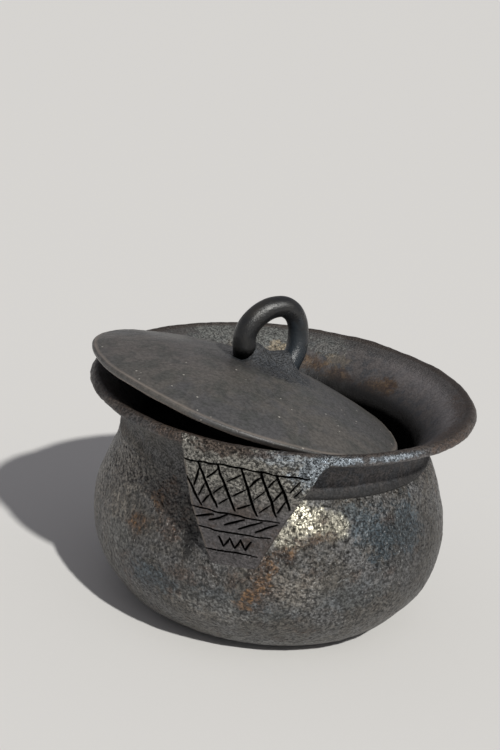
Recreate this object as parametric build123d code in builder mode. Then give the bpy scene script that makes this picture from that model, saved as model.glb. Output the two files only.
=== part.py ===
from build123d import *
import math
import os

# A lidded black clay pot, laid up in separate pieces of clay that are luted together:
# a dish for the base, coiled walls, a collar opened into a flared rim, one carved lug,
# and a domed lid with a pad and a loop of rolled clay.
# Origin: centre of the flat underside. +Z is up and -Y is the side with the lug.

# ---- driving dimensions, mm ----
POT_HEIGHT = 144.1
LIP_RADIUS = 120.0
LIP_EDGE_HEIGHT = 138.6
BELLY_RADIUS = 110.8
BELLY_HEIGHT = 59.0
BASE_RADIUS = 66.0
FLOOR_THICKNESS = 8.0
WALL = 7.0
DISH_HEIGHT = 17.7
DISH_RADIUS = 96.4
GROOVE_HEIGHT = 106.7
GROOVE_RADIUS = 95.9
NECK_HEIGHT = 117.5
NECK_RADIUS = 92.3
THROAT_RADIUS = 85.0

LUG_BEARING = -8.0
LUG_FOOT_HEIGHT = 67.0
LUG_TOP_HEIGHT = 138.8
LUG_FOOT_HALF_WIDTH = 15.5
LUG_SHOULDER_HEIGHT = 126.0
LUG_SHOULDER_HALF_WIDTH = 35.5
LUG_TOP_HALF_WIDTH = 41.0
LUG_FACE_CURVE_RADIUS = 150.0
LUG_FOOT_REACH = 109.8
LUG_TOP_REACH = 119.6

LID_RADIUS = 98.6
LID_EDGE = 4.5
LID_RISE = 19.1
LID_THICKNESS = 7.0
LID_RIM_LAND = 7.0
LID_EDGE_ROUND = 1.6
LID_CENTRE = (-23.2, -13.8, 135.35)
LID_TIP_BEARING = 28.1
LID_TIP_ANGLE = 14.3

COIL_RADIUS = 6.8
LOOP_HALF_WIDTH = 18.3
LOOP_LEG = 19.6
LOOP_SHIFT = (5.7, 2.0)
PAD_LENGTH = 55.0
PAD_WIDTH = 25.0
PAD_RISE = 6.5
PAD_ROUND = 4.5

os.makedirs("parts", exist_ok=True)

# ---- the dish: the first slab of clay, pressed to a shallow bowl with a flat underside ----
dish_inner_radius = DISH_RADIUS - WALL * 1.25

with BuildPart() as base_dish:
    with BuildSketch(Plane.XZ):
        with BuildLine():
            Line((0, 0), (BASE_RADIUS, 0))
            Spline((BASE_RADIUS, 0), (82.0, 4.6), (DISH_RADIUS, DISH_HEIGHT), tangents=[(1, 0.05), (0.62, 1)])
            Line((DISH_RADIUS, DISH_HEIGHT), (dish_inner_radius, DISH_HEIGHT))
            Spline(
                (dish_inner_radius, DISH_HEIGHT),
                (BASE_RADIUS - 2, FLOOR_THICKNESS),
                tangents=[(-0.7, -1), (-1, 0)],
            )
            Line((BASE_RADIUS - 2, FLOOR_THICKNESS), (0, FLOOR_THICKNESS))
            Line((0, FLOOR_THICKNESS), (0, 0))
        make_face()
    revolve(axis=Axis.Z)

# ---- the wall: coils drawn up into the belly and closed in to the shoulder ----
with BuildPart() as bowl_wall:
    with BuildSketch(Plane.XZ):
        with BuildLine():
            Spline(
                (DISH_RADIUS, DISH_HEIGHT),
                (108.3, 38.0),
                (BELLY_RADIUS, BELLY_HEIGHT),
                (106.0, 82.2),
                (GROOVE_RADIUS, GROOVE_HEIGHT),
                tangents=[(0.62, 1), (-0.42, 1)],
            )
            Line((GROOVE_RADIUS, GROOVE_HEIGHT), (GROOVE_RADIUS - WALL, GROOVE_HEIGHT))
            Spline(
                (GROOVE_RADIUS - WALL, GROOVE_HEIGHT),
                (99.2, 82.0),
                (BELLY_RADIUS - WALL, BELLY_HEIGHT),
                (101.0, 38.0),
                (dish_inner_radius, DISH_HEIGHT),
                tangents=[(0.45, -1), (-0.7, -1)],
            )
            Line((dish_inner_radius, DISH_HEIGHT), (DISH_RADIUS, DISH_HEIGHT))
        make_face()
    revolve(axis=Axis.Z)

# ---- the collar: a narrow neck band thrown open into a wide flared rim ----
with BuildPart() as neck_rim:
    with BuildSketch(Plane.XZ):
        with BuildLine():
            Spline(
                (GROOVE_RADIUS, GROOVE_HEIGHT),
                (NECK_RADIUS, NECK_HEIGHT),
                (97.2, 127.0),
                (107.5, 133.6),
                (LIP_RADIUS - 1.2, LIP_EDGE_HEIGHT - 1.2),
                tangents=[(-0.55, 1), (1, 0.28)],
            )
            Spline(
                (LIP_RADIUS - 1.2, LIP_EDGE_HEIGHT - 1.2),
                (LIP_RADIUS, LIP_EDGE_HEIGHT + 0.4),
                (LIP_RADIUS - 2.2, POT_HEIGHT - 1.0),
                tangents=[(1, 0.28), (-0.5, 0.9)],
            )
            Spline(
                (LIP_RADIUS - 2.2, POT_HEIGHT - 1.0),
                (LIP_RADIUS - 3.8, POT_HEIGHT),
                (LIP_RADIUS - 5.6, POT_HEIGHT - 0.8),
                tangents=[(-0.5, 0.9), (-1, -0.5)],
            )
            Spline(
                (LIP_RADIUS - 5.6, POT_HEIGHT - 0.8),
                (104.0, 136.6),
                (94.0, 127.0),
                (THROAT_RADIUS + 1.2, 117.8),
                (THROAT_RADIUS, 112.6),
                (GROOVE_RADIUS - WALL, GROOVE_HEIGHT),
                tangents=[(-1, -0.5), (0.62, -1)],
            )
            Line((GROOVE_RADIUS - WALL, GROOVE_HEIGHT), (GROOVE_RADIUS, GROOVE_HEIGHT))
        make_face()
    revolve(axis=Axis.Z)

# ---- the lug: a slab that bridges the neck, from the lip down to the belly ----
lug_turn = math.radians(LUG_BEARING)
lug_outward = Vector(math.sin(lug_turn), -math.cos(lug_turn), 0)
lug_sideways = Vector(math.cos(lug_turn), math.sin(lug_turn), 0)
lug_plane = Plane(origin=lug_outward * 80, x_dir=lug_sideways, z_dir=lug_outward)
face_axis_point = lug_outward * (LUG_TOP_REACH - LUG_FACE_CURVE_RADIUS)
face_plane = Plane(origin=face_axis_point, x_dir=lug_outward, z_dir=-lug_sideways)
reach_offset = LUG_FACE_CURVE_RADIUS - LUG_TOP_REACH

with BuildPart() as front_lug:
    with BuildSketch(lug_plane):
        with BuildLine():
            Polyline(
                (-LUG_FOOT_HALF_WIDTH, LUG_FOOT_HEIGHT),
                (LUG_FOOT_HALF_WIDTH, LUG_FOOT_HEIGHT),
                (LUG_SHOULDER_HALF_WIDTH, LUG_SHOULDER_HEIGHT),
                (LUG_TOP_HALF_WIDTH, LUG_TOP_HEIGHT),
                (-LUG_TOP_HALF_WIDTH, LUG_TOP_HEIGHT),
                (-LUG_SHOULDER_HALF_WIDTH, LUG_SHOULDER_HEIGHT),
                close=True,
            )
        make_face()
    extrude(amount=60)
    with BuildSketch(face_plane):
        with BuildLine():
            Line((0, LUG_FOOT_HEIGHT - 8), (LUG_FOOT_REACH + reach_offset - 1.5, LUG_FOOT_HEIGHT - 8))
            Spline(
                (LUG_FOOT_REACH + reach_offset - 1.5, LUG_FOOT_HEIGHT - 8),
                (114.8 + reach_offset, 88.0),
                (117.8 + reach_offset, 106.0),
                (LUG_TOP_REACH + reach_offset, LUG_TOP_HEIGHT + 2),
            )
            Line((LUG_TOP_REACH + reach_offset, LUG_TOP_HEIGHT + 2), (0, LUG_TOP_HEIGHT + 2))
            Line((0, LUG_TOP_HEIGHT + 2), (0, LUG_FOOT_HEIGHT - 8))
        make_face()
    revolve(axis=Axis(face_axis_point, (0, 0, 1)), mode=Mode.INTERSECT)
    # the back of the slab is pressed against the shoulder, the neck and the underside of the rim
    add(bowl_wall.part, mode=Mode.SUBTRACT)
    add(neck_rim.part, mode=Mode.SUBTRACT)
    add(front_lug.solids().sort_by(Axis((0, 0, 0), lug_outward))[-1], mode=Mode.REPLACE)

# ---- the lid's own plane: it lies tipped in the flare, low at the back right ----
tip_bearing = math.radians(LID_TIP_BEARING)
tip_angle = math.radians(LID_TIP_ANGLE)
lid_up = Vector(
    math.sin(tip_angle) * math.cos(tip_bearing),
    math.sin(tip_angle) * math.sin(tip_bearing),
    math.cos(tip_angle),
)
lid_downhill = Vector(
    math.cos(tip_angle) * math.cos(tip_bearing),
    math.cos(tip_angle) * math.sin(tip_bearing),
    -math.sin(tip_angle),
)
lid_across = lid_up.cross(lid_downhill)
lid_profile = Plane(origin=LID_CENTRE, x_dir=lid_downhill, z_dir=-lid_across)
lid_axis = Axis(LID_CENTRE, lid_up)
crown = LID_EDGE + LID_RISE

# ---- the lid's disc: a pressed dome, hollow below, with a flat land round its rounded rim ----
with BuildPart() as lid_disc:
    with BuildSketch(lid_profile):
        with BuildLine():
            TangentArc((0, crown), (LID_RADIUS - LID_EDGE_ROUND, LID_EDGE), tangent=(1, 0))
            ThreePointArc(
                (LID_RADIUS - LID_EDGE_ROUND, LID_EDGE),
                (LID_RADIUS, LID_EDGE / 2),
                (LID_RADIUS - LID_EDGE_ROUND, 0),
            )
            Line((LID_RADIUS - LID_EDGE_ROUND, 0), (LID_RADIUS - LID_RIM_LAND, 0))
            TangentArc((0, crown - LID_THICKNESS), (LID_RADIUS - LID_RIM_LAND, 0), tangent=(1, 0))
            Line((0, crown - LID_THICKNESS), (0, crown))
        make_face()
    revolve(axis=lid_axis)

# ---- the loop: one rolled coil, bent to an arch that stands along the lid's fall ----
loop_left = LOOP_SHIFT[0] - LOOP_HALF_WIDTH
loop_right = LOOP_SHIFT[0] + LOOP_HALF_WIDTH
leg_bottom = crown - LID_THICKNESS / 2
leg_top = crown - 1 + LOOP_LEG
loop_plane = Plane(
    origin=Vector(*LID_CENTRE) + lid_across * LOOP_SHIFT[1],
    x_dir=lid_downhill,
    z_dir=-lid_across,
)

with BuildPart() as lid_loop:
    with BuildLine(loop_plane) as loop_path:
        Line((loop_left, leg_bottom), (loop_left, leg_top))
        ThreePointArc(
            (loop_left, leg_top),
            (LOOP_SHIFT[0], leg_top + LOOP_HALF_WIDTH),
            (loop_right, leg_top),
        )
        Line((loop_right, leg_top), (loop_right, leg_bottom))
    with BuildSketch(Plane(origin=loop_path.line @ 0, z_dir=loop_path.line % 0)):
        Circle(COIL_RADIUS)
    sweep(path=loop_path.line)
    add(lid_disc.part, mode=Mode.SUBTRACT)

# ---- the pad: a lump of clay worked round the loop's two feet ----
pad_plane = Plane(
    origin=Vector(*LID_CENTRE)
    + lid_up * (crown - LID_THICKNESS + 1)
    + lid_downhill * LOOP_SHIFT[0]
    + lid_across * LOOP_SHIFT[1],
    x_dir=lid_downhill,
    z_dir=lid_up,
)

with BuildPart() as lid_pad:
    with BuildSketch(pad_plane):
        SlotOverall(PAD_LENGTH, PAD_WIDTH)
    extrude(amount=LID_THICKNESS - 1 + PAD_RISE)
    fillet(lid_pad.faces().sort_by(lid_axis)[-1].edges(), PAD_ROUND)
    add(lid_disc.part, mode=Mode.SUBTRACT)
    add(lid_loop.part, mode=Mode.SUBTRACT)

# ---- one file for each piece ----
base_dish.part.label = "base_dish"
bowl_wall.part.label = "bowl_wall"
neck_rim.part.label = "neck_rim"
front_lug.part.label = "front_lug"
lid_disc.part.label = "lid_disc"
lid_pad.part.label = "lid_pad"
lid_loop.part.label = "lid_loop"
for piece in (base_dish, bowl_wall, neck_rim, front_lug, lid_disc, lid_pad, lid_loop):
    export_step(piece.part, "parts/" + piece.part.label + ".step")
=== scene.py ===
"""A lidded black clay pot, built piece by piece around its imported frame.

The pot's pieces are turned from profiles and then given the unevenness of hand work: a slow wobble,
the drag of a scraper, grit and pits. The lug is a slab with its strokes cut in. The lid lies tipped in
the flare of the rim, with a rolled loop standing in a pad of clay.
"""

import math

import bpy
import numpy as np
from bpy.props import FloatProperty, FloatVectorProperty, PointerProperty
from bpy.types import Operator, Panel, PropertyGroup
from mathutils import Matrix, Vector


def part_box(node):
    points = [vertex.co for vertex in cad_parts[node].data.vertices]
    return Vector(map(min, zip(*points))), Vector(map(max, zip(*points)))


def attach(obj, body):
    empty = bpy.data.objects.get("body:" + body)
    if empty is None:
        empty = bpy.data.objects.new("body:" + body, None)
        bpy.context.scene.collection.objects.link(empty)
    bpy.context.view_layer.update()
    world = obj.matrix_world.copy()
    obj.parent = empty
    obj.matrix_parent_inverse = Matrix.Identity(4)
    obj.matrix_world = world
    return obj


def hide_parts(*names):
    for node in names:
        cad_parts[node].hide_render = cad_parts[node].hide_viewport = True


bl_info = {
    "name": "Black clay pot",
    "version": (1, 0, 0),
    "blender": (4, 5, 0),
    "location": "View3D > Sidebar > Clay Pot",
    "description": "Makes a lidded black clay pot and its clay finishes",
    "category": "Add Mesh",
}

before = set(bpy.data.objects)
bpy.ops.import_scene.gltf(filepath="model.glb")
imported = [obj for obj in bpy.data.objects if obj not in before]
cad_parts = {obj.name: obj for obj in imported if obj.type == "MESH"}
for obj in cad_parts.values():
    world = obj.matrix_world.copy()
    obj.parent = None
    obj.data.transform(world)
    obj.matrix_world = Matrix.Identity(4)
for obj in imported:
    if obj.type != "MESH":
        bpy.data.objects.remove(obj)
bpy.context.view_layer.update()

MM = 0.001
RIM_LOW, RIM_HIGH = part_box("neck_rim")
WALL_LOW, WALL_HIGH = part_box("bowl_wall")
DISH_LOW, DISH_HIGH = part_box("base_dish")

LIP_RADIUS = (RIM_HIGH[0] - RIM_LOW[0]) / 2 / MM
POT_HEIGHT = RIM_HIGH[2] / MM
GROOVE_HEIGHT = RIM_LOW[2] / MM
DISH_HEIGHT = DISH_HIGH[2] / MM
DISH_RADIUS = (DISH_HIGH[0] - DISH_LOW[0]) / 2 / MM
BELLY_RADIUS = (WALL_HIGH[0] - WALL_LOW[0]) / 2 / MM
LOW_WALL = 1.25  # how many times thicker the wall is where it leaves the dish


# ---------------------------------------------------------------- sizes and colours


def length_setting(label, description, value, **more):
    """A length in metres for the sidebar."""
    return FloatProperty(name=label, description=description, default=value, unit="LENGTH", **more)


def angle_setting(label, description, degrees):
    """An angle for the sidebar, given in degrees and kept in radians."""
    return FloatProperty(
        name=label, description=description, default=math.radians(degrees), subtype="ANGLE", unit="ROTATION"
    )


def colour_setting(label, description, value):
    """A colour for the sidebar."""
    return FloatVectorProperty(
        name=label, description=description, default=value, subtype="COLOR", size=3, min=0.0, max=1.0
    )


class PotSizes(PropertyGroup):
    """Sizes of the pot's own pieces"""

    wall: length_setting("Wall", "Thickness of the clay wall", 0.007, min=0.004)
    foot_radius: length_setting("Foot radius", "Radius of the flat underside", 0.066)
    groove_radius: length_setting("Groove radius", "Radius at the groove below the neck", 0.0959)
    groove_depth: length_setting("Groove depth", "Depth of the cut below the neck", 0.0014)
    wobble: length_setting("Wobble", "How far the hand-built wall strays from round", 0.0011)
    grit: length_setting("Grit", "Height of the grit on the rough body", 0.00024)
    lug_bearing: angle_setting("Lug bearing", "Turn of the lug round the pot, from the front", -8)
    stroke_depth: length_setting("Stroke depth", "Depth of the strokes cut in the lug", 0.0021)
    stroke_width: length_setting("Stroke width", "Width of the strokes cut in the lug", 0.002)


class LidSizes(PropertyGroup):
    """Sizes of the lid, and how it lies"""

    radius: length_setting("Radius", "Radius of the lid", 0.0986)
    edge: length_setting("Edge", "Thickness of the lid's edge", 0.0045)
    rise: length_setting("Rise", "Rise of the dome over the edge", 0.0191)
    thickness: length_setting("Thickness", "Thickness of the dome at its crown", 0.007)
    coil: length_setting("Coil", "Radius of the rolled coil", 0.0068)
    seat: FloatVectorProperty(
        name="Seat",
        description="Centre of the lid's underside",
        default=(-0.0232, -0.0138, 0.13535),
        subtype="TRANSLATION",
        unit="LENGTH",
    )
    bearing: angle_setting("Bearing", "Direction in which the lid falls", 28.1)
    tip: angle_setting("Tip", "How far the lid is tipped", 14.3)


class ClayColours(PropertyGroup):
    """Colours of the fired clay"""

    body: colour_setting("Body", "Main colour of the rough body", (0.06, 0.055, 0.048))
    ash: colour_setting("Ash", "Pale blue-grey bloom left by the fire", (0.108, 0.112, 0.12))
    # The soot colour is also used for painted shade on the neck and down the throat.
    soot_and_shade: colour_setting("Soot", "Darkest smoked clay", (0.0075, 0.007, 0.0068))
    rust: colour_setting("Rust", "Orange-brown oxide", (0.125, 0.067, 0.027))
    umber: colour_setting("Umber", "Dull brown oxide", (0.05, 0.032, 0.023))
    teal: colour_setting("Teal", "Blue-green tint of the sheen", (0.024, 0.053, 0.075))
    tan: colour_setting("Tan", "Cream patch inside the rim", (0.22, 0.175, 0.115))
    burnished: colour_setting("Burnished", "Burnished clay of the lid", (0.094, 0.087, 0.079))
    charcoal: colour_setting("Charcoal", "Burnished clay of the loop", (0.009, 0.0095, 0.0105))


class StageSettings(PropertyGroup):
    """Floor, lights and camera"""

    floor: colour_setting("Floor", "Colour of the floor", (0.76, 0.75, 0.735))
    key_power: FloatProperty(
        name="Key", description="Strength of the key light in watts per square metre", default=3.1
    )
    key_spread: angle_setting("Key spread", "Angle that the key light fills, seen from the pot", 2.2)
    key_bearing: angle_setting("Key bearing", "Direction of the key light round the pot, from +X", -60)
    key_height: angle_setting("Key height", "Height of the key light over the floor, as an angle", 43.5)
    fill: FloatProperty(name="Fill", description="Strength of the light from all round", default=0.23)
    distance: length_setting("Camera distance", "From the pot's foot to the camera", 1.0509)
    elevation: angle_setting("Camera elevation", "Height of the camera over the pot, as an angle", 27)
    aim: FloatVectorProperty(
        name="Camera aim",
        description="Upward, sideways and rolling turns from straight at the foot",
        default=(math.radians(7.74), math.radians(1.25), math.radians(7.14)),
        subtype="EULER",
        unit="ROTATION",
    )
    lens: FloatProperty(name="Lens", description="Focal length in millimetres", default=76.8)


# ---------------------------------------------------------------- working clay


def smooth_curve(points, spacing):
    """Points about `spacing` apart on a smooth curve through the given ones."""
    knots = np.array(points, float)
    runs = np.linalg.norm(np.diff(knots, axis=0), axis=1)
    along = np.concatenate([[0.0], np.cumsum(runs)])
    slopes = np.gradient(knots, along, axis=0)
    count = max(2, int(along[-1] / spacing) + 1)
    where = np.linspace(0.0, along[-1], count)
    k = np.clip(np.searchsorted(along, where, side="right") - 1, 0, len(along) - 2)
    run = (along[k + 1] - along[k])[:, None]
    s = (where - along[k])[:, None] / run
    start = (2 * s**3 - 3 * s**2 + 1) * knots[k] + (s**3 - 2 * s**2 + s) * run * slopes[k]
    finish = (3 * s**2 - 2 * s**3) * knots[k + 1] + (s**3 - s**2) * run * slopes[k + 1]
    return start + finish


def ease(value, low, high):
    """0 below low, 1 above high and a smooth step between."""
    s = np.clip((value - low) / (high - low), 0.0, 1.0)
    return s * s * (3 - 2 * s)


def lump(points, wavelength, seed=0):
    """Smooth noise from -1 to 1 at each point; wavelength in the points' own unit."""
    q = np.asarray(points, float) / wavelength
    cell = np.floor(q).astype(np.int64)
    f = q - cell
    f = f * f * f * (f * (f * 6 - 15) + 10)
    total = np.zeros(len(q))
    for corner in range(8):
        step = np.array([corner & 1, corner >> 1 & 1, corner >> 2 & 1])
        key = cell + step
        mixed = key[:, 0] * 73856093 ^ key[:, 1] * 19349663 ^ key[:, 2] * 83492791 ^ (seed + 1) * 2654435761
        mixed = (mixed ^ (mixed >> 15)) * 2246822519 & 0xFFFFFFFF
        mixed = (mixed ^ (mixed >> 13)) * 3266489917 & 0xFFFFFFFF
        value = (mixed >> 8 & 0xFFFF) / 32767.5 - 1.0
        share = np.prod(np.where(step, f, 1.0 - f), axis=1)
        total += share * value
    return total


def pits(points, spacing, radius, seed=0):
    """Depth from 0 to 1 of round pits scattered through space, one in each cell."""
    q = np.asarray(points, float) / spacing
    cell = np.floor(q).astype(np.int64)
    deepest = np.zeros(len(q))
    for dx in (-1, 0, 1):
        for dy in (-1, 0, 1):
            for dz in (-1, 0, 1):
                key = cell + np.array([dx, dy, dz])
                mixed = key[:, 0] * 668265263 ^ key[:, 1] * 374761393 ^ key[:, 2] * 2147483647 ^ seed * 97531
                places = []
                for _ in range(4):
                    mixed = (mixed ^ (mixed >> 13)) * 1274126177 & 0xFFFFFFFF
                    places.append((mixed >> 7 & 0xFFFF) / 65536.0)
                centre = key + np.stack(places[:3], axis=1)
                size = radius / spacing * (0.35 + 0.65 * places[3])
                gap = np.linalg.norm(q - centre, axis=1) / size
                deepest = np.maximum(deepest, np.clip(1 - gap**2, 0, 1) * (0.4 + 0.6 * places[3]))
    return deepest


def hand_wobble(points, amount):
    """Moves points (in mm) in and out from the pot's axis, the way a hand-built wall strays."""
    out = points.copy()
    reach = np.hypot(points[:, 0], points[:, 1])
    outward = points[:, :2] / np.maximum(reach, 1e-6)[:, None]
    stray = 0.75 * lump(points, 85, 1) + 0.3 * lump(points, 34, 2)
    fade = ease(reach, 30, 80) * ease(points[:, 2], 1, 16)
    out[:, :2] += outward * (stray * amount * fade)[:, None]
    return out


# how far clay smeared over the neck stands out, in mm, at heights in mm
SMEAR_HEIGHTS = [94, 100, 104.5, 106.7, 108.5, 112.6, 117.5, 122.4, 127.8, 133.4, 137]
SMEAR_DEPTHS = [0, 0.9, 2.7, 4.1, 3.3, 5.5, 6.5, 6.6, 4.6, 1.0, 0]


def smear_neck(points, outside):
    """Points (in mm) with the neck's hollow smeared full on the left, where the fingers blended it."""
    out = points.copy()
    bearing = np.degrees(np.arctan2(points[:, 0], -points[:, 1]))
    blended = ease(np.abs(bearing + 64), 68, 36)
    push = blended * np.interp(points[:, 2], SMEAR_HEIGHTS, SMEAR_DEPTHS) * outside
    reach = np.maximum(np.hypot(points[:, 0], points[:, 1]), 1e-6)
    out[:, :2] += points[:, :2] / reach[:, None] * push[:, None]
    return out


def outward_lean(*runs):
    """Unit normals along runs of a profile, in its own plane, on their right-hand side."""
    leans = []
    for run in runs:
        ahead = np.gradient(run, axis=0)
        ahead /= np.maximum(np.linalg.norm(ahead, axis=1), 1e-9)[:, None]
        leans.append(np.stack([ahead[:, 1], -ahead[:, 0]], axis=1))
    return np.concatenate(leans)


def clay_mesh(name, points, faces, body, node, clay, sharp=40):
    """A new piece of clay from points in mm, smooth but for its real corners, standing for a frame node."""
    mesh = bpy.data.meshes.new(name)
    mesh.from_pydata((points * MM).tolist(), [], faces)
    mesh.update()
    mesh.shade_smooth()
    mesh.set_sharp_from_angle(angle=math.radians(sharp))
    piece = bpy.data.objects.new(name, mesh)
    bpy.context.scene.collection.objects.link(piece)
    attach(piece, body)
    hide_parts(node)
    mesh.materials.append(clay())
    return piece


def mark_points(piece, **marks):
    """Keeps a number at each point of a piece, under a name that its clay looks up."""
    for label, values in marks.items():
        mark = piece.data.attributes.new(label, "FLOAT", "POINT")
        mark.data.foreach_set("value", values)


def ring_faces(rows, columns, closed_rows):
    """Faces of a grid that closes round its columns; its rows close too, or else end in two caps."""
    i = np.arange(rows if closed_rows else rows - 1)[:, None]
    j = np.arange(columns)[None, :]
    i2 = (i + 1) % rows
    j2 = (j + 1) % columns
    quads = np.stack([i * columns + j, i * columns + j2, i2 * columns + j2, i2 * columns + j], axis=-1)
    faces = quads.reshape(-1, 4).tolist()
    if not closed_rows:
        last = (rows - 1) * columns
        faces += [list(range(columns - 1, -1, -1)), list(range(last, last + columns))]
    return faces


def turned(profile, columns):
    """Points of a profile (radius, height) turned about the pot's axis, row by row; normals turn alike."""
    angle = np.linspace(0, 2 * math.pi, columns, endpoint=False)
    radius = profile[:, 0][:, None]
    x = radius * np.cos(angle)
    y = radius * np.sin(angle)
    z = np.broadcast_to(profile[:, 1][:, None], x.shape)
    return np.stack([x, y, z], axis=-1).reshape(-1, 3)


def rough_skin(points, grit):
    """Height in mm of the rough body's skin: scraper drag, grit and pits."""
    drag = lump(points * np.array([1, 1, 2.2]), 16, 5) * 0.26
    coarse = lump(points, 6.5, 6) * 0.55
    fine = np.abs(lump(points, 3.0, 7)) * -1.1
    grain = lump(points, 1.9, 8) * 0.5
    hollow = pits(points, 7.0, 1.9, 9) * -1.7
    return drag + grit * (coarse + fine + grain + hollow)


# ---------------------------------------------------------------- profiles of the pot


def wall_outside(spacing=0.95):
    """From the dish up to the groove below the neck."""
    sizes = bpy.context.scene.pot_sizes
    groove = sizes.groove_radius / MM
    return smooth_curve(
        [
            (DISH_RADIUS, DISH_HEIGHT),
            (103.9, 27.6),
            (108.3, 38.0),
            (110.4, 48.5),
            (BELLY_RADIUS, 59.0),
            (109.5, 71.0),
            (106.0, 82.2),
            (101.2, 95.0),
            (groove + 0.3, GROOVE_HEIGHT - 2.2),
            (groove - sizes.groove_depth / MM, GROOVE_HEIGHT),
        ],
        spacing,
    )


def wall_inside(spacing=3.0):
    """From the groove down inside the belly to the dish."""
    thick = bpy.context.scene.pot_sizes.wall / MM
    groove = bpy.context.scene.pot_sizes.groove_radius / MM
    return smooth_curve(
        [
            (groove - thick, GROOVE_HEIGHT),
            (94.4, 95.0),
            (99.2, 82.0),
            (BELLY_RADIUS - thick, 59.0),
            (101.0, 38.0),
            (DISH_RADIUS - thick * LOW_WALL, DISH_HEIGHT),
        ],
        spacing,
    )


def rim_outside(spacing=0.95):
    """Up the neck, out under the flare and over the lip."""
    sizes = bpy.context.scene.pot_sizes
    groove = sizes.groove_radius / MM
    return smooth_curve(
        [
            (groove - sizes.groove_depth / MM, GROOVE_HEIGHT),
            (groove - 0.7, GROOVE_HEIGHT + 1.8),
            (92.9, 112.6),
            (92.3, 117.5),
            (93.6, 122.4),
            (98.4, 127.8),
            (107.5, 133.4),
            (LIP_RADIUS - 2.6, 137.0),
            (LIP_RADIUS - 0.5, 138.4),
            (LIP_RADIUS, 139.6),
            (LIP_RADIUS - 0.7, 141.2),
            (LIP_RADIUS - 2.0, POT_HEIGHT - 1.1),
            (LIP_RADIUS - 3.2, POT_HEIGHT - 0.15),
        ],
        spacing,
    )


def flare_inside(spacing=1.3):
    """From the lip's inner arris down the flare to the throat and the groove's height."""
    sizes = bpy.context.scene.pot_sizes
    return smooth_curve(
        [
            (LIP_RADIUS - 4.6, POT_HEIGHT - 0.15),
            (LIP_RADIUS - 6.4, POT_HEIGHT - 1.2),
            (104.0, 136.4),
            (94.0, 126.8),
            (86.6, 118.0),
            (85.0, 112.6),
            (sizes.groove_radius / MM - sizes.wall / MM, GROOVE_HEIGHT),
        ],
        spacing,
    )


# ---------------------------------------------------------------- the pot's pieces

COLUMNS = 720  # points round each turned piece of the pot
INSIDE_ROUGHNESS = 0.25  # how much of the skin's roughness is left inside, where a hand smoothed it
LUG_SINK = 2.6  # how far the lug's back sits inside the wall, in mm


class POT_OT_base_dish(Operator):
    """Press the dish that forms the pot's foot"""

    bl_idname = "clay_pot.base_dish"
    bl_label = "Base dish"

    def execute(self, context):
        sizes = context.scene.pot_sizes
        foot = sizes.foot_radius / MM
        inner = DISH_RADIUS - sizes.wall / MM * LOW_WALL
        edge = (DISH_RADIUS, DISH_HEIGHT)
        outside = smooth_curve([(foot, 0), (74.5, 1.5), (82.4, 4.9), (90.2, 10.6), edge], 1.0)
        underside = np.stack([np.linspace(2, foot - 1, 32), np.zeros(32)], axis=1)
        inside = smooth_curve([(inner, DISH_HEIGHT), (80.5, 11.6), (70.0, 8.6), (60.0, 8.0)], 2.0)
        floor = np.stack([np.linspace(57, 2, 20), np.full(20, 8.0)], axis=1)
        profile = np.concatenate([underside, outside, inside, floor])
        points = turned(profile, COLUMNS)
        normals = turned(outward_lean(underside, outside, inside, floor), COLUMNS)
        bare = ease(points[:, 2], 0.2, 3.0)
        inward = np.repeat(np.arange(len(profile)) >= len(underside) + len(outside), COLUMNS)
        skin = rough_skin(points, sizes.grit / MM) * np.where(inward, INSIDE_ROUGHNESS, 1.0) * bare
        points = hand_wobble(points + normals * skin[:, None], sizes.wobble / MM)
        faces = ring_faces(len(profile), COLUMNS, False)
        clay_mesh("base_dish_clay", points, faces, "pot", "base_dish", rough_body_clay)
        return {"FINISHED"}


class POT_OT_bowl_wall(Operator):
    """Draw up the wall from coils, with its belly and shoulder"""

    bl_idname = "clay_pot.bowl_wall"
    bl_label = "Bowl wall"

    def execute(self, context):
        sizes = context.scene.pot_sizes
        outside = wall_outside()
        inside = wall_inside()
        profile = np.concatenate([outside, inside])
        points = turned(profile, COLUMNS)
        normals = turned(outward_lean(outside, inside), COLUMNS)
        inward = np.repeat(np.arange(len(profile)) >= len(outside), COLUMNS)
        skin = rough_skin(points, sizes.grit / MM) * np.where(inward, INSIDE_ROUGHNESS, 1.0)
        points = hand_wobble(smear_neck(points, ~inward) + normals * skin[:, None], sizes.wobble / MM)
        faces = ring_faces(len(profile), COLUMNS, True)
        clay_mesh("bowl_wall_clay", points, faces, "pot", "bowl_wall", rough_body_clay)
        return {"FINISHED"}


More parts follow.
